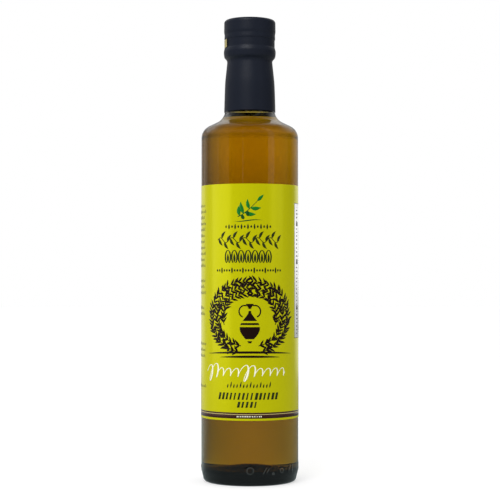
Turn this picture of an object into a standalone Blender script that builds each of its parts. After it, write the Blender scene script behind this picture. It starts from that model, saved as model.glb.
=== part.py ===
# Olive oil bottle: an olive-green glass bottle filled with golden oil, shut by a closure under
# a black shrink capsule with a gold tear tab, with a wide label wrapped round the body.
# Metres, +Z up. The bottle stands on z = 0, and the middle of the label faces -Y.

import math

import bpy
from mathutils import Matrix, Vector

OBJECT_NAME = "olive_oil_bottle"

# Gap kept between pieces that touch on the real bottle.
FIT_GAP = 0.0003

# Steps round the axis of the glass and oil, of the capsule, and along a quarter turn of an arc.
BODY_STEPS = 56
CAPSULE_STEPS = 48
QUARTER_STEPS = 5

# Glass, outside. The shoulder is an arc, a straight slope and a wide hollow arc, whose upper end
# leans out a little where the neck comes straight down from under the capsule.
BODY_RADIUS = 0.03045
SHOULDER_HEIGHT = 0.21515
SHOULDER_ROUND = 0.00815
SHOULDER_SLOPE = math.radians(25.9)
NECK_RADIUS = 0.01589
NECK_FLARE = math.radians(15.3)
NECK_FLARE_TOP = 0.2308
NECK_ROUND = 0.00913

# Glass, foot. The heel tapers in, rounds under to a flat bearing ring, and leaves a shallow punt.
HEEL_HEIGHT = 0.0072
HEEL_RADIUS = 0.0293
HEEL_ROUND = 0.0028
RING_WIDTH = 0.0024
PUNT_HEIGHT = 0.0045

# Glass, inside. The thick floor is domed over the punt.
WALL = 0.0032
FLOOR_HEIGHT = 0.0082
FLOOR_DOME = 0.0036
FLOOR_ROUND = 0.0050
BORE_RADIUS = 0.0090
BORE_ROUND = 0.0080

# Glass, mouth. It is plain under the closure.
MOUTH_HEIGHT = 0.2870
MOUTH_RADIUS = 0.0134
MOUTH_ROUND = 0.0012

# Raised mould marks round the heel: height on the glass, size, and how far they stand out.
MARK_HEIGHT = 0.0100
MARK_RELIEF = 0.00045
MARK_ROOT = 0.0010
DOT_RADIUS = 0.0009
BAR_WIDTH = 0.0012
BAR_LENGTH = 0.0044
MARK_STEPS = 10

# Oil: half a litre reaches this level, which the capsule hides.
OIL_LEVEL = 0.2374

# Capsule, outside: named rings of the closure and the sleeve, as (height, radius).
CAPSULE_TOP = 0.2898
CAPSULE_TOP_ROUND = 0.0020
CAPSULE_RINGS = (
    (0.2878, 0.01619),
    (0.2824, 0.01625),
    (0.2815, 0.01615),
    (0.2806, 0.01596),
    (0.2796, 0.01598),
    (0.2783, 0.01603),
    (0.2774, 0.01596),
    (0.2771, 0.01576),
    (0.2723, 0.01574),
    (0.2715, 0.01602),
    (0.2702, 0.01631),
    (0.2694, 0.01639),
    (0.2678, 0.01628),
    (0.2665, 0.01605),
    (0.2657, 0.01566),
    (0.2645, 0.01463),
    (0.2633, 0.01425),
    (0.2607, 0.01446),
    (0.2556, 0.01500),
    (0.2506, 0.01550),
    (0.2455, 0.01575),
    (0.2392, 0.01595),
    (0.2320, 0.01617),
)
CAPSULE_WALL = 0.0004

# Tear tab, lying in the capsule's flat band and going round its left side.
TAB_LOW = 0.2720
TAB_HIGH = 0.2770
TAB_RADIUS = 0.01608
TAB_THICKNESS = 0.00035
TAB_START = math.radians(-153)
TAB_TURN = math.radians(-58)
TAB_STEPS = 10

# Label: one wrap with a gap at the back.
LABEL_LOW = 0.0402
LABEL_HIGH = 0.1848
LABEL_LENGTH = 0.1720
LABEL_THICKNESS = 0.0002
LABEL_STEPS = 56


def clear_scene():
    for obj in list(bpy.data.objects):
        bpy.data.objects.remove(obj, do_unlink=True)


def new_collection(name):
    collection = bpy.data.collections.new(name)
    bpy.context.scene.collection.children.link(collection)
    return collection


def principled(name, color, roughness, metallic=0.0, transmission=0.0, ior=1.5):
    material = bpy.data.materials.new(name)
    material.use_nodes = True
    shader = material.node_tree.nodes["Principled BSDF"]
    shader.inputs["Base Color"].default_value = (*color, 1.0)
    shader.inputs["Roughness"].default_value = roughness
    shader.inputs["Metallic"].default_value = metallic
    shader.inputs["Transmission Weight"].default_value = transmission
    shader.inputs["IOR"].default_value = ior
    material.diffuse_color = (*color, 1.0)
    return material


def arc(centre, radius, start, end):
    """Points (radius, height) of an arc from start to end, in degrees from the outward direction."""
    steps = max(2, math.ceil(QUARTER_STEPS * abs(end - start) / 90))
    angles = [math.radians(start + (end - start) * i / steps) for i in range(steps + 1)]
    return [
        (centre[0] + radius * math.cos(angle), centre[1] + radius * math.sin(angle))
        for angle in angles
    ]


def shoulder(body, shoulder_round, neck, neck_round, flare):
    """Outline from the neck down to the body wall: hollow arc, straight slope, full arc.

    The hollow arc's centre is the one point neck_round away from both the slope and the neck's
    line, which passes through the neck radius at the flare's top and leans out by flare.
    """
    normal = Vector((math.sin(SHOULDER_SLOPE), math.cos(SHOULDER_SLOPE)))
    uphill = Vector((-normal.y, normal.x))
    full_centre = Vector((body - shoulder_round, SHOULDER_HEIGHT))
    slope_foot = full_centre + shoulder_round * normal
    neck_normal = Vector((math.cos(flare), math.sin(flare)))
    start = slope_foot + neck_round * normal
    short_by = neck_round - (start - Vector((neck, NECK_FLARE_TOP))).dot(neck_normal)
    hollow_centre = start + uphill * (short_by / uphill.dot(neck_normal))
    turn = math.degrees(math.atan2(normal.y, normal.x))
    hollow = arc(hollow_centre, neck_round, 180 + math.degrees(flare), 180 + turn)
    return hollow + arc(full_centre, shoulder_round, turn, 0)


def inside(gap):
    """Outline of the hollow from its mouth down to the middle of its floor, moved in by gap."""
    wall = BODY_RADIUS - WALL
    points = shoulder(
        wall - gap, SHOULDER_ROUND - WALL - gap, BORE_RADIUS - gap, BORE_ROUND + gap, 0.0
    )
    corner = (wall - FLOOR_ROUND, FLOOR_HEIGHT + FLOOR_ROUND)
    points += arc(corner, FLOOR_ROUND - gap, 0, -90)
    dome_steps = 5
    for i in range(dome_steps - 1, -1, -1):
        share = i / dome_steps
        rise = FLOOR_DOME * (1 + math.cos(math.pi * share)) / 2
        points.append((share * corner[0], FLOOR_HEIGHT + gap + rise))
    return points


def foot():
    """Outline of the heel, the bearing ring and the punt, down and in to the axis."""
    ring_outer = HEEL_RADIUS - HEEL_ROUND
    ring_inner = ring_outer - RING_WIDTH
    points = [(BODY_RADIUS, HEEL_HEIGHT)]
    points += arc((ring_outer, HEEL_ROUND), HEEL_ROUND, 0, -90)
    punt_steps = 6
    for i in range(punt_steps + 1):
        share = i / punt_steps
        rise = PUNT_HEIGHT * math.sin(math.pi / 2 * share)
        points.append((ring_inner * (1 - share), rise))
    return points


def neck_outside():
    """Outline of the mouth and of the neck that the capsule hides, down to its lower edge."""
    inset = CAPSULE_WALL + FIT_GAP
    lip = MOUTH_HEIGHT - MOUTH_ROUND
    points = [(BORE_RADIUS, lip)]
    points += arc((BORE_RADIUS + MOUTH_ROUND, lip), MOUTH_ROUND, 135, 90)
    points += arc((MOUTH_RADIUS - MOUTH_ROUND, lip), MOUTH_ROUND, 90, 0)
    waist = min(CAPSULE_RINGS, key=lambda ring: ring[1])[0]
    points.append((MOUTH_RADIUS, waist))
    for height, radius in CAPSULE_RINGS:
        if height < waist:
            points.append((radius - inset, height))
    edge = CAPSULE_RINGS[-1][0]
    return points + [(NECK_RADIUS, edge - inset), (NECK_RADIUS, NECK_FLARE_TOP)]


def turned(name, outline, steps, material, collection):
    """A solid turned about the Z axis from an outline that runs down its outer side."""
    mesh = bpy.data.meshes.new(name)
    vertices = [(radius, 0.0, height) for radius, height in outline]
    edges = [(i, i + 1) for i in range(len(outline) - 1)]
    mesh.from_pydata(vertices, edges, [])
    obj = bpy.data.objects.new(name, mesh)
    collection.objects.link(obj)
    screw = obj.modifiers.new("turn", "SCREW")
    screw.axis = "Z"
    screw.steps = steps
    screw.render_steps = steps
    screw.use_merge_vertices = True
    screw.merge_threshold = 0.00001
    screw.use_smooth_shade = True
    mesh.materials.append(material)
    return obj


def wrapped(name, radius, low, high, start, turn, steps, thickness, material, collection):
    """A thin strip bent round the axis: an upright line swept through an angle and thickened."""
    obj = turned(name, [(radius, high), (radius, low)], steps, material, collection)
    screw = obj.modifiers["turn"]
    screw.angle = abs(turn)
    screw.use_merge_vertices = False
    obj.rotation_euler.z = start if turn > 0 else start + turn
    shell = obj.modifiers.new("thickness", "SOLIDIFY")
    shell.thickness = thickness
    shell.offset = 1.0
    return obj


def place_mark(obj, azimuth, collection):
    """Turns a mark's long axis outwards and puts it through the glass at the heel."""
    reach = BODY_RADIUS + MARK_RELIEF - (MARK_RELIEF + MARK_ROOT) / 2
    outwards = Matrix.Rotation(azimuth, 4, "Z") @ Matrix.Translation((reach, 0, MARK_HEIGHT))
    obj.matrix_world = outwards @ Matrix.Rotation(math.pi / 2, 4, "Y") @ obj.matrix_basis
    for other in obj.users_collection:
        other.objects.unlink(obj)
    collection.objects.link(obj)
    obj.hide_render = True
    obj.display_type = "WIRE"


def mould_marks(collection):
    """A ring of raised dots and bars round the heel."""
    depth = MARK_RELIEF + MARK_ROOT
    bars = (0, 90, 180, 270)
    for azimuth in range(0, 360, 30):
        if azimuth in bars:
            bpy.ops.mesh.primitive_cube_add(size=1.0)
            mark = bpy.context.active_object
            mark.scale = (BAR_LENGTH, BAR_WIDTH, depth)
        else:
            bpy.ops.mesh.primitive_cylinder_add(
                vertices=MARK_STEPS, radius=DOT_RADIUS, depth=depth
            )
            mark = bpy.context.active_object
        mark.name = f"mark_{azimuth:03d}"
        place_mark(mark, math.radians(azimuth), collection)


def make_glass(parts, cutters):
    material = principled("olive_glass", (0.45, 0.55, 0.20), 0.03, transmission=1.0, ior=1.52)
    mouth_to_floor = [(BORE_RADIUS, MOUTH_HEIGHT - MOUTH_ROUND)] + inside(0.0)
    outline = mouth_to_floor[:0:-1] + neck_outside()
    outline += shoulder(BODY_RADIUS, SHOULDER_ROUND, NECK_RADIUS, NECK_ROUND, NECK_FLARE)
    outline += foot()
    glass = turned("bottle_glass", outline, BODY_STEPS, material, parts)
    mould_marks(cutters)
    union = glass.modifiers.new("mould marks", "BOOLEAN")
    union.operation = "UNION"
    union.solver = "EXACT"
    union.operand_type = "COLLECTION"
    union.collection = cutters
    return glass


def make_oil(parts):
    material = principled("golden_oil", (0.75, 0.50, 0.05), 0.02, transmission=1.0, ior=1.47)
    bore = BORE_RADIUS - FIT_GAP
    outline = [(0.0, OIL_LEVEL), (bore, OIL_LEVEL)] + inside(FIT_GAP)
    return turned("olive_oil", outline, BODY_STEPS, material, parts)


def make_capsule(parts):
    material = principled("black_film", (0.012, 0.014, 0.020), 0.38)
    rim = CAPSULE_RINGS[0][1] - CAPSULE_TOP_ROUND
    outline = [(0.0, CAPSULE_TOP)]
    outline += arc((rim, CAPSULE_TOP - CAPSULE_TOP_ROUND), CAPSULE_TOP_ROUND, 90, 0)
    outline += [(radius, height) for height, radius in CAPSULE_RINGS[1:]]
    waist = min(CAPSULE_RINGS, key=lambda ring: ring[1])[0]
    sleeve = [ring for ring in reversed(CAPSULE_RINGS) if ring[0] < waist]
    outline += [(radius - CAPSULE_WALL, height) for height, radius in sleeve]
    ceiling = MOUTH_HEIGHT + FIT_GAP
    outline += [(MOUTH_RADIUS + FIT_GAP, waist), (MOUTH_RADIUS + FIT_GAP, ceiling), (0.0, ceiling)]
    return turned("capsule", outline, CAPSULE_STEPS, material, parts)


def make_tab(parts):
    material = principled("gold_tape", (0.62, 0.52, 0.22), 0.40, metallic=0.6)
    return wrapped(
        "tear_tab", TAB_RADIUS, TAB_LOW, TAB_HIGH, TAB_START, TAB_TURN, TAB_STEPS,
        TAB_THICKNESS, material, parts,
    )


def make_label(parts):
    material = principled("coated_paper", (0.62, 0.60, 0.01), 0.35)
    turn = LABEL_LENGTH / BODY_RADIUS
    start = -math.pi / 2 - turn / 2
    return wrapped(
        "label", BODY_RADIUS + FIT_GAP, LABEL_LOW, LABEL_HIGH, start, turn, LABEL_STEPS,
        LABEL_THICKNESS, material, parts,
    )


def main():
    clear_scene()
    parts = new_collection(OBJECT_NAME)
    cutters = new_collection("mould_marks")
    root = bpy.data.objects.new("base_centre", None)
    parts.objects.link(root)
    pieces = [make_glass(parts, cutters), make_oil(parts), make_capsule(parts)]
    pieces += [make_tab(parts), make_label(parts)]
    for piece in pieces:
        piece.parent = root


main()
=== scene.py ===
import itertools
import math

import bpy
import numpy as np
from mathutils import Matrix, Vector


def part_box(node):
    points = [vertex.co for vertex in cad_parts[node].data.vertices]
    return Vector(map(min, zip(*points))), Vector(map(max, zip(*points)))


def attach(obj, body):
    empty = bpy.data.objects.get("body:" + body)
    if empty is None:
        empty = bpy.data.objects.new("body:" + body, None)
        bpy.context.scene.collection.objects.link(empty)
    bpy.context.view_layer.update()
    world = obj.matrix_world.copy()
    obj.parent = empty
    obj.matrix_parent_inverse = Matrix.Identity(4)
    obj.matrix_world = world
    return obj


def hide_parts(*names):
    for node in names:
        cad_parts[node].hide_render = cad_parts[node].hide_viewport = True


# Olive oil bottle: clear tinted glass full of golden oil, a black shrink capsule with a gold tape
# end, and a printed paper label. Lengths are in millimetres until they go into a mesh.

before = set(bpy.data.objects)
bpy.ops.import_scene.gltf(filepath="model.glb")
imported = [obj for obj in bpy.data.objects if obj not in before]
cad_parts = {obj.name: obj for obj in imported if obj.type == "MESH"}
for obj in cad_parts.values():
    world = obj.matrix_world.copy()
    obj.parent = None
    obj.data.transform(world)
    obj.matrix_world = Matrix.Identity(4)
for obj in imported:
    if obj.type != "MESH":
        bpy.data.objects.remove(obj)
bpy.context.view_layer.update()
mm = 0.001


def nodeSpan(node):
    # lowest and highest height of a solid, in millimetres
    low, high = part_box(node)
    return low[2] / mm, high[2] / mm


# Mesh tools

def gridFaces(rows, columns, closed=False):
    # four-sided faces of a grid of points; a closed one goes all round
    steps = columns if closed else columns - 1
    row, column = np.meshgrid(np.arange(rows - 1), np.arange(steps), indexing="ij")
    after = (column + 1) % columns
    corners = [row * columns + column, (row + 1) * columns + column,
               (row + 1) * columns + after, row * columns + after]
    return np.stack(corners, axis=-1).reshape(-1, 4)


def pairs(x, y):
    # points from their two parts, either of which may be one number for all
    return np.stack(np.broadcast_arrays(x, y), axis=-1)


def newObject(name, data):
    thing = bpy.data.objects.new(name, data)
    bpy.context.scene.collection.objects.link(thing)
    return thing


# pieces with soft lights of their own: the paper with its print, and the capsule
litPieces = {slot: bpy.data.collections.new("lit_" + slot) for slot in ("label_paper", "capsule_film")}


def newPiece(name, points, faces, materials, slot):
    # points in millimetres; faces is a list of index arrays
    mesh = bpy.data.meshes.new(name)
    mesh.from_pydata((points * mm).tolist(), [], [f for block in faces for f in block.tolist()])
    for material in materials:
        mesh.materials.append(material)
    mesh.shade_smooth()
    piece = newObject(name, mesh)
    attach(piece, "root")
    if slot in litPieces:
        litPieces[slot].objects.link(piece)
    return piece


def thicken(piece, thickness, offset):
    # offset is -1 for a wall that lies behind the surface, 0 for one on both sides
    shell = piece.modifiers.new("thickness", "SOLIDIFY")
    shell.thickness = thickness * mm
    shell.offset = offset
    return shell


def turnedPiece(name, outline, segments, materials, slot, relief=None, changes=()):
    # an outline (radius, height) that starts and ends on the axis and runs down its outer side, turned
    # all round: x = r cos a, y = r sin a, with relief added to r. changes = the outline rows at which
    # the next material takes over.
    angle = np.linspace(0, 2 * np.pi, segments, endpoint=False)[None, :]
    radius, height = outline[1:-1, :1], outline[1:-1, 1:]
    reach = radius + (relief(angle, radius, height) if relief else 0.0)
    rings = np.stack(np.broadcast_arrays(reach * np.cos(angle), reach * np.sin(angle), height), axis=-1)
    ends = np.array([[0, 0, outline[0, 1]], [0, 0, outline[-1, 1]]])
    points = np.vstack([rings.reshape(-1, 3), ends])
    first = np.arange(segments)
    after = (first + 1) % segments
    last = (len(radius) - 1) * segments
    top = np.stack([np.full(segments, len(points) - 2), first, after], axis=-1)
    bottom = np.stack([last + after, last + first, np.full(segments, len(points) - 1)], axis=-1)
    faces = [gridFaces(len(radius), segments, closed=True), top, bottom]
    piece = newPiece(name, points, faces, materials, slot)
    row = np.repeat([*range(1, len(radius)), 0, len(radius)], segments)
    material = np.searchsorted(changes, row, side="right").astype(np.int32)
    piece.data.polygons.foreach_set("material_index", material)
    return piece


def arcRun(centre, radius, start, end, steps):
    # points round a centre, from start to end in degrees off the outward direction
    angle = np.radians(np.linspace(start, end, steps + 1))
    return centre + radius * pairs(np.cos(angle), np.sin(angle))


def straightRun(start, end, support=0.3, steps=1):
    # points inside a line, the first and last close to its ends, so that its shading stays flat
    edge = min(0.2, support / np.linalg.norm(end - start))
    share = np.linspace(edge, 1 - edge, steps + 1)[:, None]
    return start + share * (end - start)


def smoothRun(points, steps):
    # a Catmull-Rom curve through the points: each span follows its two neighbours' slopes
    padded = np.vstack([2 * points[:1] - points[1:2], points, 2 * points[-1:] - points[-2:-1]])
    t = np.linspace(0, 1, steps, endpoint=False)[None, :, None]
    a, b, c, d = (padded[i:len(padded) - 3 + i, None, :] for i in range(4))
    bend, twist = 2 * a - 5 * b + 4 * c - d, 3 * b - a - 3 * c + d
    spans = 0.5 * (2 * b + (c - a) * t + bend * t ** 2 + twist * t ** 3)
    return np.vstack([spans.reshape(-1, 2), points[-1:]])


def softStep(value, low, high):
    # 0 below low, 1 above high, and a smooth S between
    share = np.clip((value - low) / (high - low), 0, 1)
    return share * share * (3 - 2 * share)


# Material tools

def plug(tree, socket, value):
    # another node's output is linked in, a plain value is set
    if isinstance(value, bpy.types.NodeSocket):
        tree.links.new(value, socket)
    else:
        socket.default_value = (*value, 1) if socket.type == "RGBA" else value


def feed(tree, node, **inputs):
    # a socket's name without its spaces = what goes in
    sockets = {}
    for socket in node.inputs:
        sockets.setdefault(socket.name.replace(" ", ""), socket)
    for key, value in inputs.items():
        plug(tree, sockets[key], value)
    return node


def newMaterial(name, **inputs):
    # a Principled material with plain values on its own sockets
    material = bpy.data.materials.new(name)
    material.use_nodes = True
    tree = material.node_tree
    return material, tree, feed(tree, tree.nodes["Principled BSDF"], **inputs)


def addNode(tree, kind, **settings):
    node = tree.nodes.new("ShaderNode" + kind)
    for key, value in settings.items():
        setattr(node, key, value)
    return node


def maths(tree, operation, *values):
    node = addNode(tree, "Math", operation=operation)
    for socket, value in zip(node.inputs, values):
        plug(tree, socket, value)
    return node.outputs[0]


def times(tree, first, second):
    return maths(tree, "MULTIPLY", first, second)


def ramp(tree, value, low, high, fromValue, toValue, kind="SMOOTHSTEP"):
    # a value from low to high becomes one from fromValue to toValue, held at both ends
    node = feed(tree, addNode(tree, "MapRange", interpolation_type=kind), Value=value,
                FromMin=low, FromMax=high, ToMin=fromValue, ToMax=toValue)
    return node.outputs["Result"]


def chosen(tree, share, low, high):
    # low where the share is 0, high where it is 1
    node = feed(tree, addNode(tree, "Mix", data_type="FLOAT"), Factor=share, A=low, B=high)
    return node.outputs["Result"]


def noise(tree, place, scale, detail):
    node = feed(tree, addNode(tree, "TexNoise"), Vector=place, Scale=scale, Detail=detail)
    return node.outputs["Fac"]


def spot(tree, kind="Object"):
    # the point that is shaded, and its three parts
    place = addNode(tree, "TexCoord").outputs[kind]
    return place, feed(tree, addNode(tree, "SeparateXYZ"), Vector=place).outputs


def bumped(tree, shader, height, strength, distance):
    bump = feed(tree, addNode(tree, "Bump"), Height=height, Strength=strength, Distance=distance)
    feed(tree, shader, Normal=bump.outputs[0])


mottleNoise = {
    "fineDetail": 3.0,
    "wideDetail": 2.0,
    "wideScale": 0.07,  # as a share of the fine noise's
}


def makeMottle():
    # two sizes of soft noise: darkens a colour unevenly, and gives a height for a bump
    group = bpy.data.node_groups.new("mottle", "ShaderNodeTree")
    for title, kind, way in (("Vector", "Vector", "INPUT"), ("Scale", "Float", "INPUT"),
                             ("Depth", "Float", "INPUT"), ("Color", "Color", "INPUT"),
                             ("Color", "Color", "OUTPUT"), ("Height", "Float", "OUTPUT")):
        group.interface.new_socket(title, in_out=way, socket_type="NodeSocket" + kind)
    given = group.nodes.new("NodeGroupInput").outputs
    fine = noise(group, given["Vector"], given["Scale"], mottleNoise["fineDetail"])
    wideScale = times(group, given["Scale"], mottleNoise["wideScale"])
    wide = noise(group, given["Vector"], wideScale, mottleNoise["wideDetail"])
    blend = maths(group, "MULTIPLY_ADD", fine, 0.5, times(group, wide, 0.5))
    shade = maths(group, "SUBTRACT", 1.0, times(group, blend, given["Depth"]))
    dark = feed(group, addNode(group, "VectorMath", operation="SCALE"), Vector=given["Color"],
                Scale=shade)
    feed(group, group.nodes.new("NodeGroupOutput"), Color=dark.outputs[0], Height=blend)
    return group


mottle = makeMottle()


def mottled(tree, shader, color, scale, depth, bump=0.0, distance=0.00002):
    # the mottle on Object coordinates, into Base Color and, where wanted, a bump
    place = addNode(tree, "TexCoord").outputs["Object"]
    node = feed(tree, addNode(tree, "Group", node_tree=mottle), Vector=place, Scale=scale,
                Depth=depth, Color=color)
    feed(tree, shader, BaseColor=node.outputs["Color"])
    if bump:
        bumped(tree, shader, node.outputs["Height"], bump, distance)
    return node


def clearMaterial(name, ior):
    return newMaterial(name, BaseColor=(1.0, 1.0, 1.0), Roughness=0.0, TransmissionWeight=1.0, IOR=ior)


def absorbing(tree, color, density):
    # light is lost along its way through the piece: density (per metre) times one minus the colour
    volume = feed(tree, addNode(tree, "VolumeAbsorption"), Color=color, Density=density)
    feed(tree, tree.nodes["Material Output"], Volume=volume.outputs[0])


# Camera

cameraView = {
    "distance": 0.94,  # metres from the bottle's axis to the lens
    "side": 0.000126,
    "height": 0.12627,
    "tilt": 1.13,  # degrees upwards
    "lens": 107.43,  # millimetres on a sensor 36 mm wide
}


def makeCamera(view):
    camera = newObject("camera", bpy.data.cameras.new("camera"))
    camera.data.lens = view["lens"]
    camera.data.sensor_width = 36.0
    camera.location = (view["side"], -view["distance"], view["height"])
    camera.rotation_euler = (math.radians(90 + view["tilt"]), 0, 0)
    bpy.context.scene.camera = camera


print("camera")
makeCamera(cameraView)

# Glass

glassTop = nodeSpan("bottle_glass")[1]
capsuleEdge, capsuleTop = nodeSpan("capsule")
oilTop = nodeSpan("olive_oil")[1]
labelLow, labelHigh = nodeSpan("label")

glass = {
    "segments": 672,
    "body": 30.45,  # radius
    "shoulderHeight": 215.15,  # where the wall ends and the shoulder's arc begins
    "shoulderRound": 8.15,
    "slope": 25.9,  # degrees, between the shoulder's two arcs
    "neck": 15.89,  # radius at the flare's top
    "neckRound": 9.13,
    "flare": 15.3,  # degrees that the neck leans out
    "flareTop": 230.8,
    "heelHeight": 7.2,
    "heel": 29.3,
    "heelRound": 2.8,
    "ring": 2.4,  # width of the flat ring that it stands on
    "punt": 4.5,
    "wall": 3.2,
    "floor": 8.2,  # height of the floor's edge
    "dome": 3.6,
    "floorRound": 5.0,
    "bore": 9.0,
    "boreRound": 8.0,
    "mouth": 13.4,
    "mouthRound": 1.2,
    "index": 1.52,  # how strongly it bends light
    "tint": (0.0, 0.06, 0.10),
    "density": 18.5,  # per metre
    "dimAbove": (187.0, 206.5),  # heights between which the painted shade above the label fades out
    "dimTone": 0.86,
    "shadeAbove": (229.4, 231.0),  # heights between which the capsule's shade begins
    "shadeTone": 0.25,
    "rippleScale": 60.0,  # a slow unevenness of the surface, four times as long upwards
    "rippleSqueeze": (1, 1, 0.25),
    "rippleStrength": 0.25,
    "rippleDepth": 0.0002,  # metres
    "shoulderSteps": 9,
    "domeRows": 9,
    "puntRows": 9,
    "markRows": 28,  # rows of faces that carry the raised marks
    "markTop": 13.6,  # and the height at which they start
}
# the foot's painted shade: a dark body inside its glass
footShade = {
    "segments": 360,
    "inset": 0.3,  # how far it stays inside the foot's glass
    "color": (0.0035, 0.004, 0.0045),
}
oil = {
    "segments": 512,
    "reach": -0.1,  # its gap to the glass: it reaches this far into the wall
    "index": 1.47,
    "tint": (0.994, 0.843, 0.0),
    "density": 120.0,
}


def shoulderRun(body, shoulderRound, neck, neckRound, flare):
    # from the neck down to the wall: hollow arc, straight slope, full arc. The hollow arc's centre
    # is neckRound away from both the slope and the neck's line.
    slope, lean = math.radians(glass["slope"]), math.radians(flare)
    normal = np.array([math.sin(slope), math.cos(slope)])
    uphill = np.array([-normal[1], normal[0]])
    fullCentre = np.array([body - shoulderRound, glass["shoulderHeight"]])
    neckNormal = np.array([math.cos(lean), math.sin(lean)])
    start = fullCentre + (shoulderRound + neckRound) * normal
    shortBy = neckRound - (start - [neck, glass["flareTop"]]) @ neckNormal
    hollowCentre = start + uphill * shortBy / (uphill @ neckNormal)
    turn, steps = 90 - glass["slope"], glass["shoulderSteps"]
    hollow = arcRun(hollowCentre, neckRound, 180 + flare, 180 + turn, steps)
    full = arcRun(fullCentre, shoulderRound, turn, 0, steps + 2)
    return np.vstack([hollow, straightRun(hollow[-1], full[0]), full])


def insideRun(gap):
    # the hollow from the bore down to the middle of its floor, moved inwards by gap
    wall = glass["body"] - glass["wall"]
    upper = shoulderRun(wall - gap, glass["shoulderRound"] - glass["wall"] - gap,
                        glass["bore"] - gap, glass["boreRound"] + gap, 0.0)
    corner = np.array([wall - glass["floorRound"], glass["floor"] + glass["floorRound"]])
    lower = arcRun(corner, glass["floorRound"] - gap, 0, -90, 8)
    share = np.linspace(1, 0, glass["domeRows"])[1:]
    rise = glass["dome"] * (1 + np.cos(np.pi * share)) / 2
    dome = pairs(share * corner[0], glass["floor"] + gap + rise)
    return np.vstack([upper, straightRun(upper[-1], lower[0]), lower, dome])


def neckRun():
    # the plain mouth and the neck that the capsule is shrunk on to
    lip = glassTop - glass["mouthRound"]
    inner = arcRun([glass["bore"] + glass["mouthRound"], lip], glass["mouthRound"], 180, 90, 3)
    outer = arcRun([glass["mouth"] - glass["mouthRound"], lip], glass["mouthRound"], 90, 0, 3)
    sleeve = capsuleRun()
    waist = sleeve[:, 0].argmin()
    under = sleeve[waist::4] - [capsule["film"] + capsule["clearance"], 0]
    below = np.array([[glass["neck"] + 0.04, capsuleEdge - 0.8], [glass["neck"], glass["flareTop"]]])
    return np.vstack([inner, outer, [[glass["mouth"], sleeve[waist, 1]]], under[2:], below])


def footRun():
    # heel taper, round under to the ring, and the punt's rise to the axis as a quarter sine
    outer = glass["heel"] - glass["heelRound"]
    ringIn = outer - glass["ring"]
    under = arcRun([outer, glass["heelRound"]], glass["heelRound"], 0, -90, 9)
    share = np.linspace(0, 1, glass["puntRows"])
    punt = pairs(ringIn * (1 - share), glass["punt"] * np.sin(np.pi / 2 * share))
    start = np.array([[glass["body"], glass["heelHeight"]]])
    return np.vstack([start, straightRun(start[0], under[0], 0.5, 6), under, punt])


# Raised mould marks
marks = {
    "relief": 0.16,
    "edge": 0.3,  # width of a mark's soft side
    "line": 0.42,  # half width of a ring's line
    "barLine": 0.504,  # and of a bar
    "lean": {"bar": 0.0, "slant": 0.6},  # how far it goes sideways for each millimetre up
    "glint": 0.12,  # half width of the painted highlight on a mark
    "glintShare": 0.85,  # its size, as a share of a ring's or a dot's
    # the painted highlights' colour
    "color": (0.12, 0.135, 0.13),
    # kind, degrees right of the front, height, and radius or half height
    "places": (
        ("ring", 0.5, 9.8, 2.4), ("slant", 17.5, 9.6, 2.1), ("slant", 21.5, 9.9, 1.5),
        ("dot", 28.0, 7.8, 0.8), ("ring", 40.0, 9.4, 1.6), ("slant", 53.0, 10.2, 2.0),
        ("bar", 59.0, 9.8, 2.2), ("bar", 84.0, 10.2, 2.0), ("dot", -84.0, 9.6, 1.0),
        ("dot", 170.0, 7.2, 0.8), ("dot", 180.0, 7.2, 0.8), ("dot", 190.0, 7.2, 0.8),
    ),
}


def markRelief(angle, radius, height):
    # the nearest mark's distance decides: full relief inside it, a soft side at its edge
    nearest = np.full(np.broadcast_shapes(angle.shape, height.shape), 9.0)  # no mark near
    for kind, azimuth, level, size in marks["places"]:
        turn = (angle - math.radians(azimuth - 90) + np.pi) % (2 * np.pi) - np.pi
        across, up = turn * glass["body"], height - level
        if kind == "ring":
            gap = np.abs(np.hypot(across, up) - size) - marks["line"]
        elif kind == "dot":
            gap = np.hypot(across, up) - size
        else:
            aside = across - marks["lean"][kind] * up
            gap = np.hypot(aside, np.maximum(np.abs(up) - size, 0)) - marks["barLine"]
        nearest = np.minimum(nearest, gap)
    onWall = radius > glass["body"] - 0.5  # leaves the inner wall alone
    return marks["relief"] * softStep(-nearest, -marks["edge"], marks["edge"]) * onWall


def makeGlassFinish(name, ior):
    material, tree, shader = clearMaterial(name, ior)
    place, split = spot(tree)
    height = split["Z"]
    squeeze = feed(tree, addNode(tree, "Mapping"), Vector=place, Scale=glass["rippleSqueeze"])
    ripple = noise(tree, squeeze.outputs[0], glass["rippleScale"], 1.0)
    bumped(tree, shader, ripple, glass["rippleStrength"], glass["rippleDepth"])
    # painted shade: the glass's colour darkens close above the label, for the label's shade in the slightly
    # cloudy oil
    low, high = (level * mm for level in glass["dimAbove"])
    labelShade = ramp(tree, height, low, high, glass["dimTone"], 1.0, "LINEAR")
    clear = maths(tree, "MAXIMUM", labelShade, maths(tree, "LESS_THAN", height, labelLow * mm))
    # and the capsule shades the neck just below it
    low, high = (level * mm for level in glass["shadeAbove"])
    shade = ramp(tree, height, low, high, 1.0, glass["shadeTone"])
    feed(tree, shader, BaseColor=times(tree, clear, shade))
    return material


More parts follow.
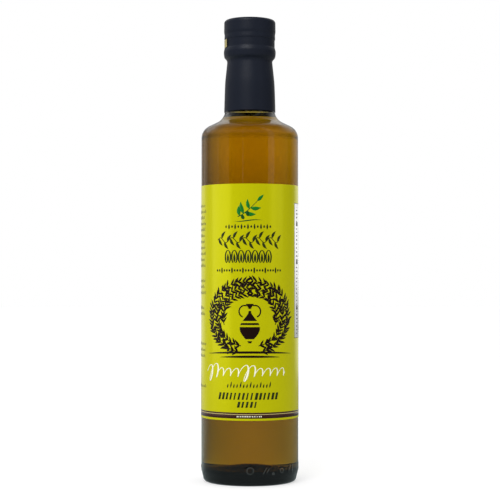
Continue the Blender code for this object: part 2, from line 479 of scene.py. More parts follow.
def makeGlass():
    # the faces that the oil wets bend light by the glass's index over the oil's
    bore = np.array([[glass["bore"], oilTop]])
    hollow = insideRun(0.0)[::-1]
    inside = np.vstack([hollow, straightRun(hollow[-1], bore[0]), bore, bore + [0, 0.3]])
    shoulder = shoulderRun(glass["body"], glass["shoulderRound"], glass["neck"], glass["neckRound"],
                           glass["flare"])
    band = pairs(glass["body"], np.linspace(glass["markTop"], glass["heelHeight"] + 0.2, glass["markRows"]))
    wall = straightRun(shoulder[-1], band[0])
    outline = np.vstack([inside, neckRun(), shoulder, wall, band, footRun()])
    # only the dry faces carry the tint's volume: it then runs on through the oil, which allows for it
    dry = makeGlassFinish("bottleGlass", glass["index"])
    wet = makeGlassFinish("wetGlass", glass["index"] / oil["index"])
    absorbing(dry.node_tree, glass["tint"], glass["density"])
    piece = turnedPiece("glass_bottle", outline, glass["segments"], [wet, dry], "bottle_glass", markRelief,
                        changes=(len(inside) - 2,))
    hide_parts("bottle_glass")


def makeFootShade():
    # painted shade: the thick foot looks nearly black, so a dark body stands in its glass, between the
    # floor's dome and the foot's outline, both moved in
    inset, puntRows = footShade["inset"], glass["puntRows"]
    dome = insideRun(0.0)[-glass["domeRows"]:][::-1] - [0, inset]
    foot = footRun()
    wall = foot[:-puntRows] - [inset, 0]
    wall[:, 1] = np.clip(wall[:, 1], inset, dome[-1, 1])
    punt = foot[-puntRows:] + [-inset, inset]
    punt[-1, 0] = 0.0
    edge = np.array([[dome[-1, 0] + 0.3, dome[-1, 1]], [wall[0, 0] - 0.2, dome[-1, 1]]])
    outline = np.vstack([dome, edge, wall, punt])
    material, tree, shader = newMaterial("footPaintedShade", Roughness=0.6, SpecularIORLevel=0.0)
    mottled(tree, shader, footShade["color"], 300.0, 0.3)
    turnedPiece("foot_shade_body", outline, footShade["segments"], [material], "bottle_glass")


# Capsule

capsule = {
    "segments": 480,
    "film": 0.35,
    "clearance": 0.05,
    "topRound": 2.0,
    # outer rings, as (height, radius): closure skirt, tape band, lower bead, waist, sleeve
    "rings": (
        (287.8, 16.19), (285.2, 16.22), (282.4, 16.25), (281.5, 16.15), (280.6, 15.96), (279.6, 15.98),
        (278.3, 16.03), (277.5, 15.97), (277.1, 15.76), (274.7, 15.74), (272.3, 15.74), (271.5, 16.02),
        (270.2, 16.31), (269.4, 16.39), (267.8, 16.28), (266.5, 16.05), (265.7, 15.66), (264.5, 14.63),
        (263.3, 14.25), (260.7, 14.46), (255.6, 15.00), (250.6, 15.50), (245.5, 15.75), (239.2, 15.95),
        (232.3, 16.15), (232.0, 16.17),
    ),
    "color": (0.0078, 0.0112, 0.0215),
    "rough": (0.34, 0.50),  # least and greatest
    "wrinkle": 0.045,
    "waves": (17, 23, 31, 44),  # how many of each wrinkle there are all round
    "wrinkled": ((264.0, 3.0, 1.0), (279.5, 2.2, 0.5)),  # where: height, reach, share
    "seed": 11,
}


def capsuleRun():
    # the outer side from below the top's round edge down to the lower edge
    return smoothRun(np.array(capsule["rings"])[:, ::-1], 5)


def capsuleRelief(angle, radius, height):
    # shrink wrinkles: sines round the axis with seeded phases, over a slow unevenness everywhere
    rng = np.random.default_rng(capsule["seed"])
    waves = np.zeros(np.broadcast_shapes(angle.shape, height.shape))
    for count in capsule["waves"]:
        phase, drift = rng.uniform(0, 2 * np.pi), rng.uniform(-0.35, 0.35)
        waves += np.sin(count * angle + drift * height + phase) / len(capsule["waves"])
    slow = np.sin(3 * angle + 0.11 * height + 1.0) * 0.5 + np.sin(2 * angle - 0.07 * height) * 0.5
    near = sum(share * np.exp(-((height - level) / reach) ** 2)
               for level, reach, share in capsule["wrinkled"])
    film = (radius > 12.0) & (height > capsuleEdge + 1.5)  # not the top's middle, nor the lower edge
    return capsule["wrinkle"] * (waves * near + 0.8 * slow) * film


def makeCapsuleFinish():
    material, tree, shader = newMaterial("capsuleFilm", SpecularIORLevel=0.25)
    node = mottled(tree, shader, capsule["color"], 900.0, 0.35, bump=0.25, distance=0.00004)
    low, high = capsule["rough"]
    feed(tree, shader, Roughness=maths(tree, "MULTIPLY_ADD", node.outputs["Height"], high - low, low))
    return material


def makeCapsule():
    side = capsuleRun()
    rim = side[0, 0] - capsule["topRound"]
    top = arcRun([rim, capsuleTop - capsule["topRound"]], capsule["topRound"], 90, 0, 9)[:-1]
    flat = np.array([[0.0, capsuleTop], [rim * 0.5, capsuleTop], [rim - 0.3, capsuleTop]])
    waist = side[:, 0].argmin()
    inner = side[waist + 8:][::-1][::4] - [capsule["film"], 0]
    inner = inner[inner[:, 0] > glass["mouth"] + 0.3]
    clear = glass["mouth"] + 0.1
    closing = np.array([[clear, side[waist, 1] - 1.0], [clear, glassTop + 0.1], [0.0, glassTop + 0.1]])
    outline = np.vstack([flat, top, side, inner, closing])
    piece = turnedPiece("capsule_film", outline, capsule["segments"], [makeCapsuleFinish()],
                        "capsule_film", capsuleRelief)
    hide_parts("capsule")


# Oil

def makeOilFinish(name, ior):
    material, tree = clearMaterial(name, ior)[:2]
    absorbing(tree, oil["tint"], oil["density"])
    return material


def makeOil():
    # its free top bends light as oil in air does; its sides lie in the wall, whose wet faces do that
    bore = glass["bore"] - oil["reach"]
    top = np.array([[0.0, oilTop], [bore * 0.6, oilTop], [bore - 0.3, oilTop], [bore, oilTop]])
    outline = np.vstack([top, insideRun(oil["reach"])])
    finishes = [makeOilFinish("oilTop", oil["index"]), makeOilFinish("oilBody", 1.0)]
    piece = turnedPiece("golden_oil", outline, oil["segments"], finishes, "olive_oil", changes=(3,))
    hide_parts("olive_oil")


print("glass, oil and capsule")
makeGlass()
makeFootShade()
makeOil()
makeCapsule()

# Gold tape end

tape = {
    "low": nodeSpan("tear_tab")[0],
    "high": nodeSpan("tear_tab")[1],
    "radius": 15.85,
    "start": -153.0,  # degrees from +X
    "turn": -58.0,
    "slant": 1.6,  # degrees between the free end's lower and upper corner
    "lift": 0.55,  # how far the free end's upper corner stands off
    "lifted": 0.22,  # the share of its length that lifts
    "gap": 0.12,
    "thickness": 0.12,
    "color": (0.78, 0.66, 0.26),
    "grid": (60, 14),
}


def makeTape():
    # a strip round the band: the azimuth runs back from the free end, and the radius rises as a
    # square towards the lifted corner, with two shallow buckles
    along, across = np.meshgrid(*(np.linspace(0, 1, count) for count in tape["grid"]), indexing="ij")
    azimuth = np.radians(tape["start"] + tape["slant"] * across + tape["turn"] * along)
    lifted = np.clip(1 - along / tape["lifted"], 0, 1) ** 2
    radius = tape["radius"] + tape["gap"] + tape["lift"] * lifted * (0.35 + 0.65 * across)
    radius += 0.05 * np.sin(9 * along + 2 * across) + 0.04 * np.sin(23 * along - 3 * across)
    height = tape["low"] + (tape["high"] - tape["low"]) * across
    points = np.stack([radius * np.cos(azimuth), radius * np.sin(azimuth), height], axis=-1).reshape(-1, 3)
    material, tree, shader = newMaterial("goldTape", Metallic=0.55, Roughness=0.38)
    mottled(tree, shader, tape["color"], 700.0, 0.35, bump=0.2)
    piece = newPiece("gold_tape", points, [gridFaces(*tape["grid"])], [material], "gold_tape")
    thicken(piece, tape["thickness"], 0)
    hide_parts("tear_tab")


print("tape")
makeTape()

# Label

label = {
    "radius": 30.64,  # of the printed side
    "length": 172.0,
    "thickness": 0.17,
    "color": (0.51, 0.503, 0.002),
    "back": (0.72, 0.72, 0.66),
    "backGlow": (0.40, 0.36, 0.22),  # painted light: the back glows, standing for light that comes through the paper into the oil
    "grain": 1500.0,
    "grainDepth": 0.06,
    "grainRelief": 0.00001,  # metres
    "grid": (40, 241),
    "edgeRow": 0.15,  # rows close to both edges keep the shading flat there
    "endLift": 0.06,  # how far the free ends stand off, over their last stretch
    "endStretch": 3.0,
}


def onLabel(places, lift):
    # label places (along, height) to space: along is an arc length to the right of the front
    radius = label["radius"] + lift
    angle = places[..., 0] / label["radius"]
    return np.stack([radius * np.sin(angle), -radius * np.cos(angle), places[..., 1]], axis=-1)


def paperFinish(name, color, bump=0.35, **inputs):
    material, tree, shader = newMaterial(name, **inputs)
    mottled(tree, shader, color, label["grain"], label["grainDepth"], bump, label["grainRelief"])
    return material


def makeLabel():
    # the paper's grid of (along, height) rolled up; its free ends stand off a little
    half, (rows, columns), edge = label["length"] / 2, label["grid"], label["edgeRow"]
    levels = np.hstack([labelHigh, np.linspace(labelHigh - edge, labelLow + edge, rows - 2), labelLow])
    along, height = np.meshgrid(np.linspace(-half, half, columns), levels)
    lift = label["endLift"] * softStep(np.abs(along), half - label["endStretch"], half)
    points = onLabel(pairs(along, height), lift).reshape(-1, 3)
    front = paperFinish("labelPaper", label["color"], Metallic=0.12, Roughness=0.2, SpecularIORLevel=0.35,
                        SpecularTint=(1.0, 1.0, 0.2))
    # painted light: the paper's back glows, for light that would come through the paper
    back = paperFinish("labelBack", label["back"], Roughness=0.8, EmissionColor=label["backGlow"],
                       EmissionStrength=1.0)
    piece = newPiece("paper_label", points, [gridFaces(rows, columns)], [front, back], "label_paper")
    thicken(piece, label["thickness"], -1).material_offset = 1
    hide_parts("label")


# Print: each shape is a patch, an array (how many, rows, columns, 2) of label places
thinnest = 0.03  # least half width of a leaf or a line
inkThickness = 0.02


def petals(base, angle, length, width, bend=0.0, rows=8, sharp=True):
    # a midrib that bows by bend; the half width follows sin(pi t^0.8) for a leaf, an ellipse for an
    # olive
    angle, length, width, bend = (np.reshape(v, (-1, 1, 1)) for v in (angle, length, width, bend))
    t = ((1 - np.cos(np.pi * np.linspace(0, 1, rows + 1))) / 2)[:, None]
    wide = np.sin(np.pi * t ** 0.8) if sharp else 2 * np.sqrt(t * (1 - t))
    x = length * t
    y = bend * length * 4 * t * (1 - t) + np.linspace(-1, 1, 3) * np.maximum(width / 2 * wide, thinnest)
    turned = pairs(x * np.cos(angle) - y * np.sin(angle), x * np.sin(angle) + y * np.cos(angle))
    return base[:, None, None, :] + turned


def onPath(path, share):
    # points at shares of the way along a path, counted in its steps
    step = np.arange(len(path))
    return pairs(*(np.interp(np.multiply(share, step[-1]), step, part) for part in path.T))


def stroke(path, halfWidth):
    # a drawn line: the path moved to both sides along its normal
    along = np.gradient(path, axis=0)
    normal = pairs(-along[:, 1], along[:, 0]) / np.linalg.norm(along, axis=1)[:, None]
    side = np.linspace(-1, 1, 3)[None, :, None]
    width = np.maximum(np.broadcast_to(halfWidth, len(path)), thinnest)[:, None, None]
    return (path[:, None, :] + side * width * normal[:, None, :])[None]


def bars(left, low, width, height, slant=0.0):
    # upright or leaning bars; the columns are at most about a millimetre apart
    left, low, width, height = (np.reshape(v, (-1, 1, 1)) for v in (left, low, width, height))
    across = np.linspace(0, 1, int(np.ceil(width.max())) + 1)
    up = np.array([[0.0], [1.0]])
    return pairs(left + width * across + slant * height * up, low + height * up)


def printed(name, patches, color, lift=0.03, slot="label_paper", **inputs):
    # all patches become one thin piece just above the paper, each turned to face outwards
    points, faces, count = [], [], 0
    for patch in patches:
        many, rows, columns = patch.shape[:3]
        corner = patch[:, :-1, :-1]
        step, across = patch[:, 1:, :-1] - corner, patch[:, :-1, 1:] - corner
        area = (step[..., 0] * across[..., 1] - step[..., 1] * across[..., 0]).sum(axis=(1, 2))
        facing = np.where((area < 0)[:, None, None, None], patch[:, :, ::-1], patch)
        points.append(onLabel(facing, lift).reshape(-1, 3))
        offsets = count + rows * columns * np.arange(many)[:, None, None]
        faces.append((gridFaces(rows, columns)[None] + offsets).reshape(-1, 4))
        count += many * rows * columns
    finish = {"Roughness": 0.25, "SpecularIORLevel": 0.2, **inputs}
    material = paperFinish(name.title().replace("_", ""), color, 0.2, **finish)
    thicken(newPiece(name, np.vstack(points), faces, [material], slot), inkThickness, -1)


inks = {
    "green": (0.007, 0.18, 0.016),
    "darkGreen": (0.004, 0.065, 0.009),
    "title": (0.021, 0.030, 0.003),
    "brown": (0.010, 0.0025, 0.0012),
    "bandBrown": (0.040, 0.013, 0.009),
    "tan": (0.52, 0.42, 0.20),
    "olive": (0.05, 0.057, 0.010),
    "black": (0.015, 0.015, 0.015),
    "white": (0.93, 0.93, 0.92),
    "cream": (0.90, 0.89, 0.74),
}
layout = {
    "middle": -1.1,  # the words' middle, to the left of the picture's
    "sprigLow": 161.3,
    "ruleHeight": 158.6,
    "titleOne": (-21.3, 19.0, 145.6, 155.0),  # left, right, low, high
    "titleTwo": (-16.0, 13.9, 135.3, 144.6),
    "beads": (-21.5, 20.0, 130.0, 133.6),
    "picture": (31.0, 25.6, 103.4),  # half width, half height, middle height
    "flourish": (-33.0, 27.6, 64.0, 75.4),
    "seeds": (-14.2, 12.4, 59.6, 64.0),
    "boldOne": (-20.8, 18.6, 53.0, 57.2),
    "boldTwo": (-8.0, 5.2, 48.2, 51.8),
    "bands": (41.55, 43.8, 44.25, 45.15),  # the wide band's edges and the thin line's
    "panel": (34.6, 78.0, 89.9, 173.8),
}


def makeSprig():
    # a twig with green leaves and two olives, and a thin tapered ground line
    low, middle = layout["sprigLow"], layout["middle"]
    t = np.linspace(0, 1, 24)
    twig = pairs(middle - 6.4 + 12.4 * t, low + 3.4 + 9.8 * t ** 1.4)
    at = onPath(twig, [0.10, 0.30, 0.36, 0.58, 0.64, 0.98])
    angle = np.radians([96, 104, -8, 100, 2, 44])
    length = np.array([6.2, 7.4, 7.0, 6.2, 6.6, 5.6])
    leaves = petals(at, angle, length, length * 0.36, [0.06, 0.08, -0.07, 0.07, -0.08, 0.0], rows=12)
    printed("sprig_leaves", [leaves], inks["green"])
    ribs = petals(at, angle, length * 0.8, 0.22, [0.045, 0.06, -0.052, 0.052, -0.06, 0.0])
    olives = petals(onPath(twig, [0.20, 0.47]), np.radians([-64, -78]), [3.0, 3.3], [2.1, 2.2], rows=12,
                    sharp=False)
    ground = pairs(middle + np.linspace(-9, 9, 30), low + 0.9 + 0.5 * np.sin(np.linspace(-2.4, 2.6, 30)))
    line = stroke(ground, 0.32 * np.sin(np.linspace(0, np.pi, 30)))
    printed("sprig_twig", [stroke(twig, 0.26 - 0.12 * t), olives, ribs, line], inks["darkGreen"], lift=0.04)


def runningVine(left, right, low, high, waves, leafLength):
    # a wavy stem with a leaf on each side at every quarter wave
    t = np.linspace(0, 1, waves * 16 + 1)
    middle, swing = (low + high) / 2, (high - low) * 0.16
    stem = pairs(left + (right - left) * t, middle + swing * np.sin(2 * np.pi * waves * t))
    quarter = np.arange(waves * 4)
    up = np.where(quarter % 2, 1, -1)
    at = onPath(stem, (quarter + 0.5) / len(quarter))
    leaves = petals(at, np.radians(58) * up, leafLength, leafLength * 0.34, 0.10 * up)
    return [stroke(stem, 0.22), leaves]


def makeWords():
    # ornament in place of the words: a vine, an arcade, beads, seeds and leaning bars
    left, right, low, high = layout["titleOne"]
    patches = runningVine(left, right, low, high, 5, 5.2)
    left, right, low, high = layout["titleTwo"]
    count = 7
    pitch = (right - left) / count
    centre = left + pitch * (np.arange(count) + 0.5)
    angle = np.radians(np.linspace(-60, 240, 30))
    up = (low + high) / 2 + 0.44 * (high - low) * np.sin(angle)
    for x in centre:
        arch = pairs(x + 0.40 * pitch * np.cos(angle), up)
        patches.append(stroke(arch, 0.20 + 0.28 * np.abs(np.cos(angle))))
    patches.append(petals(pairs(centre, low + 1.3), np.pi / 2, (high - low) * 0.62, 1.5, rows=10))
    x = layout["middle"] + np.linspace(-14, 14, 15)
    size = np.where(np.arange(15) % 2, 3.4, 1.8)
    patches.append(petals(pairs(x, layout["ruleHeight"] - size / 2), np.pi / 2, size, 1.15))
    left, right, low, high = layout["beads"]
    size = np.where(np.arange(25) % 4 == 2, high - low, 1.5)
    beads = pairs(np.linspace(left, right, 25), (low + high) / 2 - size / 2)
    patches.append(petals(beads, np.pi / 2, size, 1.1, sharp=False))
    left, right, low, high = layout["seeds"]
    size = (high - low) * np.where(np.arange(14) % 3 == 1, 0.95, 0.6)
    seeds = pairs(np.linspace(left, right, 14), low + 0.5)
    patches.append(petals(seeds, np.radians(78), size, 0.9))
    printed("title_ornament", patches, inks["title"])
    rng = np.random.default_rng(5)
    bold = []
    for left, right, low, high in (layout["boldOne"], layout["boldTwo"]):
        count = int((right - left) / 2.6)
        edge = np.linspace(left, right, count + 1)[:-1]
        bold.append(bars(edge, low, rng.uniform(0.9, 1.7, count), high - low, slant=0.22))
    printed("bold_bars", bold, inks["title"])


def makePicture():
    # a wreath round a jar: on each side three twigs follow half ellipses from the foot to the crown,
    # with leaves to both sides and olives between them
    wide, tall, middle = layout["picture"]
    rng = np.random.default_rng(3)
    patches = []
    for side, (scale, first) in itertools.product((-1, 1), ((0.86, -76), (0.71, -76), (0.56, -20))):
        count = int(34 * scale * (88 - first) / 164)
        angle = np.radians(np.linspace(first, 88, 60))
        stem = pairs(side * wide * scale * np.cos(angle), middle + tall * scale * np.sin(angle))
        patches.append(stroke(stem, 0.30 - 0.004 * np.arange(60)))
        share = (np.arange(count) + rng.uniform(0.3, 0.7, count)) / count
        at = onPath(stem, share)
        along = np.gradient(stem, axis=0)
        heading = np.interp(share * 59, np.arange(60), np.unwrap(np.arctan2(along[:, 1], along[:, 0])))
        for turn in (-1, 1):
            lean = heading + turn * np.radians(rng.uniform(26, 54, count))
            length = rng.uniform(3.9, 5.2, count)
            patches.append(petals(at, lean, length, length * 0.30, turn * -0.05, rows=6))
        fruit = at[2::4]
        lean = heading[2::4] + np.radians(rng.uniform(60, 110, len(fruit)))
        patches.append(petals(fruit, lean, 2.3, 1.6, sharp=False))
    t = np.linspace(0, 1, 40)[:, None]
    belly = 6.0 * np.sin(np.pi * np.clip(t / 0.78, 0, 1)) ** 1.3 * (1 - 0.25 * t)
    half = 0.8 + belly + 1.6 * softStep(t, 0.88, 1.0)
    jar = pairs(half * np.linspace(-1, 1, 13), middle - 16.0 + 24.0 * t)
    for low, high in ((0, 3), (4, 17), (18, 21), (22, 33), (34, 40)):
        patches.append(jar[None, low:high])
    angle = np.radians(np.linspace(-70, 110, 24))
    for side in (-1, 1):
        handle = pairs(side * (3.2 + 3.4 * np.cos(angle)), middle + 3.4 + 3.6 * np.sin(angle))
        patches.append(stroke(handle, 0.42))
    for reach, level in ((30.0, -21.6), (20.0, -24.2)):
        x = np.linspace(-reach, reach, 70)
        ground = pairs(x, middle + level - 0.0012 * x ** 2)
        patches.append(stroke(ground, 0.7 * np.cos(np.linspace(-np.pi / 2, np.pi / 2, 70)) ** 0.7))
    printed("wreath_and_jar", patches, inks["brown"])


def makeFlourish():
    # a pen line that moves right while it turns; its loops swell twice, and it presses harder on the
    # way down
    left, right, low, high = layout["flourish"]
    t = np.linspace(0, 1, 420)
    turns = 2 * np.pi * 11 * t
    swell = 0.42 + 0.58 * np.exp(-((t - 0.08) / 0.07) ** 2) + 0.55 * np.exp(-((t - 0.52) / 0.06) ** 2)
    up = (high - low) * 0.5 * swell * np.sin(turns)
    x = left + 3 + (right - left - 6) * t - 1.9 * swell * np.cos(turns) + 0.34 * up
    press = np.clip(-np.gradient(up) / np.abs(np.gradient(up)).max(), 0, 1)
    line = stroke(pairs(x, (low + high) / 2 + up), 0.19 + 0.42 * press)
    printed("pen_flourish", [line], inks["cream"])


def makeBands():
    # the ruled foot of the label, all round, with a row of tiny bars
    low, high, lineLow, lineHigh = layout["bands"]
    length = label["length"]
    bands = bars(-length / 2, [low, lineLow], length, [high - low, lineHigh - lineLow])
    printed("foot_bands", [bands], inks["bandBrown"])
    printed("foot_line", [bars(-length / 2, high + 0.05, length, lineLow - high - 0.1)], inks["tan"])
    rng = np.random.default_rng(9)
    x = np.arange(-8.0, 7.4, 1.05)
    tiny = bars(x, low + 0.75, rng.uniform(0.35, 0.65, len(x)), high - low - 1.4)
    printed("foot_marks", [tiny], inks["cream"], lift=0.05)


def wordRow(rng, left, right, shortest, longest, gap):
    # starts and lengths of bars that fill a line from left to right, like words
    starts, lengths, at = [], [], left
    while at < right:
        length = rng.uniform(shortest, longest)
        starts.append(at)
        lengths.append(min(length, right - at))
        at += length + gap
    return np.array(starts), np.array(lengths)


smallPrint = {
    "left": (-79.0, -32.4),
    "pitch": 3.73,
    "rows": ((171.3, 11), (124.6, 3), (107.8, 2), (85.6, 3), (59.4, 1)),  # first row's height, how many
    "size": 1.35,
    "letters": (0.3, 0.5, 0.75),  # shortest, longest, gap
    "letterSizes": (1.0, 1.0, 1.5),
    "frame": 0.3,
    "margin": 2.5,
    "large": (3.0, 3.6),  # the column of large marks: its distance from the frame, and width
    "largeLetters": (0.4, 1.0, 1.6),
    "heavy": (0.21, 0.55, 0.83),  # heights of its heavy marks, as shares of the panel's
    "columns": (1.3, 1.5, 1.9),  # widths of the other columns
    "columnGap": 1.5,
}


def makeSmallPrint():
    # greeked lines on the left, and a framed white panel with upright lines on the right
    rng = np.random.default_rng(21)
    letters, sizes = smallPrint["letters"], smallPrint["letterSizes"]
    left, right = smallPrint["left"]
    lines = []
    for first, count in smallPrint["rows"]:
        for row in range(count):
            starts, lengths = wordRow(rng, left, right - rng.uniform(0, 3.2), *letters)
            tall = smallPrint["size"] * rng.choice(sizes, len(starts))
            lines.append(bars(starts, first - row * smallPrint["pitch"], lengths, tall))
    printed("small_lines", lines, inks["olive"])
    left, right, low, high = layout["panel"]
    printed("white_panel", [bars(left, low, right - left, high - low)], inks["white"], SpecularIORLevel=0.5)
    line, tall = smallPrint["frame"], high - low
    black = [bars(left, [low, high - line], right - left, line), bars([left, right - line], low, line, tall)]
    inset, width = smallPrint["large"]
    column, bottom, top = left + inset, low + smallPrint["margin"], high - smallPrint["margin"]
    starts, lengths = wordRow(rng, bottom, top, *smallPrint["largeLetters"])
    black.append(bars(column, low + tall * np.array(smallPrint["heavy"]), width, width * 0.7))
    black.append(bars(column, starts, width * rng.uniform(0.3, 1.0, len(starts)), lengths))
    column += width + smallPrint["columnGap"]
    width = rng.choice(smallPrint["columns"])
    while column < right - width - 0.8:
        starts, lengths = wordRow(rng, bottom, high - rng.uniform(3, 22), *letters)
        black.append(bars(column, starts, 0.66 * width * rng.choice(sizes, len(starts)), lengths))
        column += width + smallPrint["columnGap"]
        width = rng.choice(smallPrint["columns"])
    printed("panel_lines", black, inks["black"], lift=0.05)


def makePaintedGlints():
    # painted highlights: thin light lines on the raised marks' edges, where they would catch the light
    patches = []
    around = np.linspace(0, 2 * np.pi, 25)
    for kind, azimuth, level, size in marks["places"]:
        if kind in ("ring", "dot"):
            path = marks["glintShare"] * size * pairs(np.cos(around), np.sin(around))
        else:
            up = np.linspace(-size, size, 8)
            path = pairs(marks["lean"][kind] * up, up)
        patches.append(stroke(path + [math.radians(azimuth) * label["radius"], level], marks["glint"]))
    lift = glass["body"] + marks["relief"] + 0.03 - label["radius"]
    printed("mark_painted_glints", patches, marks["color"], lift, "bottle_glass", Roughness=0.4)


print("label and print")
makeLabel()
makeSprig()
makeWords()
makePicture()
makeFlourish()
makeBands()
makeSmallPrint()
makePaintedGlints()

# Studio

studio = {
    "floorRadius": 6.0,
    "floorTone": 0.56,
    "floorGlow": 0.5,  # added for the camera alone, so that the shadow stays faint
    # soft lights in reflections: middle (degrees right of the camera's side), half width, soft edge, glow
    "bands": ((-66.0, 15.0, 1.5, 0.14), (-98.0, 17.0, 4.0, 0.26), (-130.0, 9.0, 5.0, 0.36),
              (52.0, 7.5, 1.5, 0.30), (78.0, 20.0, 10.0, 0.07), (-16.4, 0.5, 0.8, 0.35)),
    "overhead": (0.22, 0.45),  # sines of the heights between which light from above begins
    "zenith": (0.60, 0.80),  # and ends, but for a share of it
    "zenithShare": 0.1,
    "aboveRight": 0.12,  # its glow on the right, on the left and in front, and behind
    "aboveLeft": 0.16,
    "aboveBehind": 0.75,
    "aboveTurn": (0.35, 0.9),  # where left changes to right
    "behindGlow": 0.5,
    "behindFrom": (-0.3, -0.95),  # where it begins and is full: 1 is the camera's side, -1 behind
    "behindLeft": 0.15,  # how much later on the left
    "soft": 0.95,  # light on matt surfaces, from all round
    "horizon": 0.86,  # light through the glass from below the horizon, as a share of that from above
    "low": 0.50,  # and from the floor near by
    "dimBelow": (-0.035, 0.035),  # sines of the heights between which the first changes
    "closeness": (0.1, 1.4),  # and one over the distance in metres for the second
    # how light falls off on the right, then on the left: from where to where (radians), and to what
    "diagonals": ((0.31, 0.785), 0.30, (-0.375, -0.70), 0.77),
    "floorSides": ((0.05, 0.72), 0.33, (-0.05, -0.42), 0.66),
    "sideTurn": (1.25, 1.8),  # where the left's share takes over on the right
    "floorThrough": 0.75,  # the floor's brightness through the glass, straight behind
    "floorMirrored": 0.28,  # the floor's brightness in reflections
    "floorMirroredLeft": 0.58,  # and on the far left
    "mirroredMiddle": -0.65,
    "mirroredReach": (0.15, 0.65),
    "floorTint": (0.83, 1.0, 1.0),  # in both, near the bottle
    "floorNear": (0.34, 0.50),  # metres over which that changes to the low light's tone
}


def uneven(tree, turn, rightTurn, rightShare, leftTurn, leftShare):
    # one straight behind the bottle, where turn is 0, and falling to a share on either side
    right = ramp(tree, turn, *rightTurn, 1.0, rightShare, "LINEAR")
    side = ramp(tree, turn, *studio["sideTurn"], 0.0, leftShare)
    left = ramp(tree, turn, *leftTurn, 1.0, leftShare, "LINEAR")
    return times(tree, maths(tree, "MAXIMUM", right, side), left)


def makeWorld():
    # white to the camera and through the glass; for reflections dark in front, with dim side panels
    # and bright behind; for matt surfaces even
    world = bpy.data.worlds.new("studio")
    bpy.context.scene.world = world
    world.use_nodes = True
    world.cycles.sampling_method = "NONE"
    tree = world.node_tree
    split = spot(tree, "Generated")[1]
    height, near = split["Z"], times(tree, split["Y"], -1.0)
    flat = maths(tree, "SQRT", maths(tree, "SUBTRACT", 1.0001, times(tree, height, height)))
    front = maths(tree, "DIVIDE", near, flat)  # 1 at the camera's side
    aside = maths(tree, "ARCTAN2", split["X"], near)
    isLeft = maths(tree, "LESS_THAN", split["X"], 0.0)
    later = maths(tree, "MULTIPLY_ADD", isLeft, studio["behindLeft"], front)
    glossy = ramp(tree, later, *studio["behindFrom"], 0.0, studio["behindGlow"])
    above = ramp(tree, aside, *studio["aboveTurn"], studio["aboveLeft"], studio["aboveRight"])
    above = maths(tree, "ADD", above, ramp(tree, front, 0.0, -0.8, 0.0, studio["aboveBehind"]))
    above = times(tree, above, ramp(tree, height, *studio["overhead"], 0.0, 1.0))
    above = times(tree, above, ramp(tree, height, *studio["zenith"], 1.0, studio["zenithShare"]))
    glossy = maths(tree, "MAXIMUM", glossy, above)
    for middle, half, soft, glow in studio["bands"]:
        off = maths(tree, "ABSOLUTE", maths(tree, "SUBTRACT", aside, math.radians(middle)))
        band = ramp(tree, off, math.radians(half), math.radians(half + soft), glow, 0.0)
        glossy = maths(tree, "ADD", glossy, band)
    # through the glass: full light from two degrees up, a little less from below, less on the diagonals
    rise = ramp(tree, height, *studio["dimBelow"], studio["horizon"], 1.0)
    turn = maths(tree, "ARCTAN2", split["X"], split["Y"])
    through = times(tree, uneven(tree, turn, *studio["diagonals"]), rise)
    path = addNode(tree, "LightPath").outputs
    light = chosen(tree, path["Is Diffuse Ray"], glossy, studio["soft"])
    # a refracted ray counts as glossy too, so its own flag comes later
    light = chosen(tree, path["Is Transmission Ray"], light, through)
    light = chosen(tree, path["Is Camera Ray"], light, 1.0)
    feed(tree, tree.nodes["Background"], Color=light)


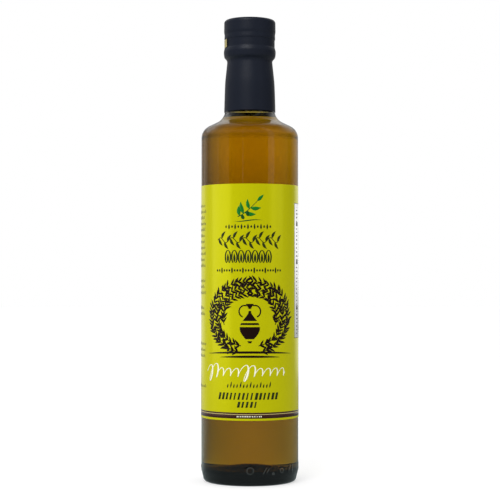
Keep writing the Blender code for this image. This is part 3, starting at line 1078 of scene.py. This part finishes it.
def makeFloor():
    # a round pale floor: matt and a little aglow to the camera, its own tone in reflections, and
    # through the glass brightest straight behind the bottle
    material, tree, shader = newMaterial("paleFloor", Roughness=0.9)
    path = addNode(tree, "LightPath").outputs
    place, split = spot(tree)
    turn = maths(tree, "ARCTAN2", split["X"], split["Y"])  # 0 straight behind
    length = feed(tree, addNode(tree, "VectorMath", operation="LENGTH"), Vector=place)
    away = length.outputs["Value"]
    near = times(tree, uneven(tree, turn, *studio["floorSides"]), studio["floorThrough"])
    beyond = ramp(tree, maths(tree, "DIVIDE", 1.0, away), *studio["closeness"], studio["horizon"],
                  studio["low"], "LINEAR")
    beyond = times(tree, beyond, uneven(tree, turn, *studio["diagonals"]))
    far = ramp(tree, away, *studio["floorNear"], 0.0, 1.0)
    through = maths(tree, "MULTIPLY_ADD", far, maths(tree, "SUBTRACT", beyond, near), near)
    off = maths(tree, "ABSOLUTE", maths(tree, "SUBTRACT", turn, studio["mirroredMiddle"]))
    mirrored = ramp(tree, off, *studio["mirroredReach"], studio["floorMirroredLeft"],
                    studio["floorMirrored"], "LINEAR")
    mirrored = times(tree, mirrored, path["Is Glossy Ray"])
    seen = chosen(tree, path["Is Transmission Ray"], mirrored, through)
    glow = maths(tree, "MULTIPLY_ADD", path["Is Camera Ray"], studio["floorGlow"], seen)
    tint = addNode(tree, "Mix", data_type="RGBA")
    plug(tree, tint.inputs["Factor"], maths(tree, "MAXIMUM", path["Is Camera Ray"], far))
    plug(tree, tint.inputs["A"], studio["floorTint"])
    plug(tree, tint.inputs["B"], (1, 1, 1))
    matt = maths(tree, "MAXIMUM", path["Is Camera Ray"], path["Is Diffuse Ray"])
    feed(tree, shader, EmissionStrength=glow, EmissionColor=tint.outputs["Result"],
         BaseColor=times(tree, matt, studio["floorTone"]))
    around = np.linspace(0, 2 * np.pi, 96, endpoint=False)
    rim = studio["floorRadius"] * np.column_stack([np.cos(around), np.sin(around), 0 * around])
    mesh = bpy.data.meshes.new("floor")
    mesh.from_pydata(rim.tolist(), [], [list(range(len(rim)))])
    mesh.materials.append(material)
    newObject("floor", mesh)


# soft lights: place, target, size, power, and the slot whose pieces alone it lights
lamps = {
    "key": ((-0.34, -0.86, 0.95), (0, 0, 0.14), 0.5, 5.4, None),
    "leftSheen": ((-0.93, -0.31, 0.45), (0, 0, 0.13), 1.05, 4.1, "label_paper"),
    "rightSheen": ((0.92, -0.38, 0.45), (0, 0, 0.13), 0.6, 0.8, "label_paper"),
    "leftEdge": ((-0.45, 0.89, 0.3), (0, 0, 0.13), 0.8, 0.9, "label_paper"),
    "rightEdge": ((0.45, 0.89, 0.3), (0, 0, 0.13), 0.8, 1.4, "label_paper"),
    "capsuleSheen": ((-0.24, -0.72, 0.93), (0, 0, 0.27), 0.6, 5.0, "capsule_film"),
}


def makeLight(name, place, target, size, power, slot):
    # a square soft light; one for a slot's pieces also shows in their sheen
    light = bpy.data.lights.new(name, "AREA")
    light.size = size
    light.energy = power
    lamp = newObject(name, light)
    lamp.location = place
    aim = np.asarray(target) - np.asarray(place)
    flat = math.hypot(aim[0], aim[1])
    lamp.rotation_euler = (math.atan2(flat, -aim[2]), 0, math.atan2(-aim[0], aim[1]))
    lamp.visible_glossy = slot is not None
    if slot:
        lamp.light_linking.receiver_collection = litPieces[slot]
    lamp.visible_camera = False
    lamp.visible_transmission = False


print("studio")
makeWorld()
makeFloor()
for name, lamp in lamps.items():
    makeLight(name, *lamp)
bpy.context.scene.view_settings.view_transform = "Standard"
